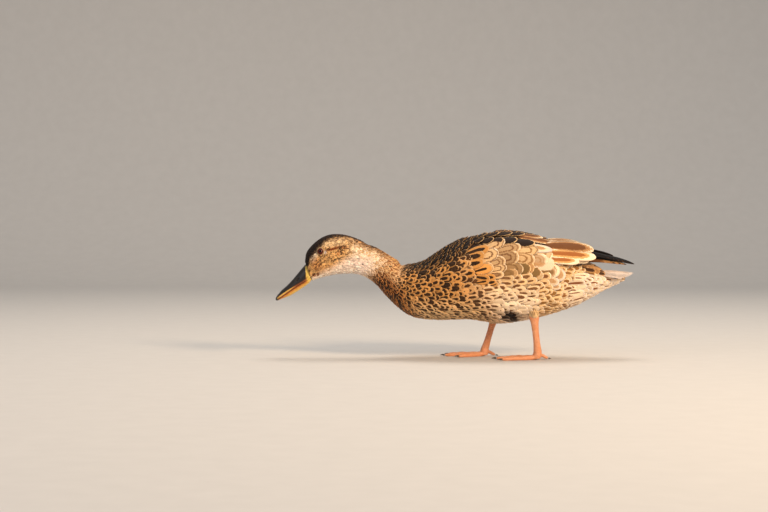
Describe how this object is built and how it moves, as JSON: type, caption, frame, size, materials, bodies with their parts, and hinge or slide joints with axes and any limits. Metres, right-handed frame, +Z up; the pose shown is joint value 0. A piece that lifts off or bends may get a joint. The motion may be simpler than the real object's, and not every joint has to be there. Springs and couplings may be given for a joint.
{
  "type": "female mallard duck",
  "caption": "Life-size hen mallard walking with neck stretched forward and bill held low, mottled brown plumage, orange legs and webbed feet.",
  "frame": {"origin": "on the floor under the middle of the bird's length and width, with the bill towards -X", "axes": "+X from bill to tail along the bird's length, +Y towards the bird's right side, +Z up"},
  "size_m": [0.4168, 0.1142, 0.1494],
  "materials": {
    "plumage": "soft matte contour feathers, dark centres with buff edges",
    "wing_feathers": "firm satin flight feathers, brown with pale edges",
    "tail_feathers": "firm feathers, brown barred with buff and pale edges",
    "bill_horn": "satin leathery skin over horn, orange with a black saddle",
    "eye": "wet gloss, dark brown",
    "leg_skin": "satin orange scaled skin",
    "claw_horn": "dull dark horn"
  },
  "bodies": {
    "root": {"bill_lower": "bill_horn", "bill_upper": "bill_horn", "breast": "plumage", "claw_l_hind": "claw_horn", "claw_l_inner": "claw_horn", "claw_l_middle": "claw_horn", "claw_l_outer": "claw_horn", "claw_r_hind": "claw_horn", "claw_r_inner": "claw_horn", "claw_r_middle": "claw_horn", "claw_r_outer": "claw_horn", "eye_l": "eye", "eye_r": "eye", "foot_l": "leg_skin", "foot_r": "leg_skin", "head": "plumage", "neck": "plumage", "rump": "plumage", "shank_l": "leg_skin", "shank_r": "leg_skin", "tail": "tail_feathers", "trunk": "plumage", "wing_l": "wing_feathers", "wing_r": "wing_feathers"}
  },
  "joints": []
}
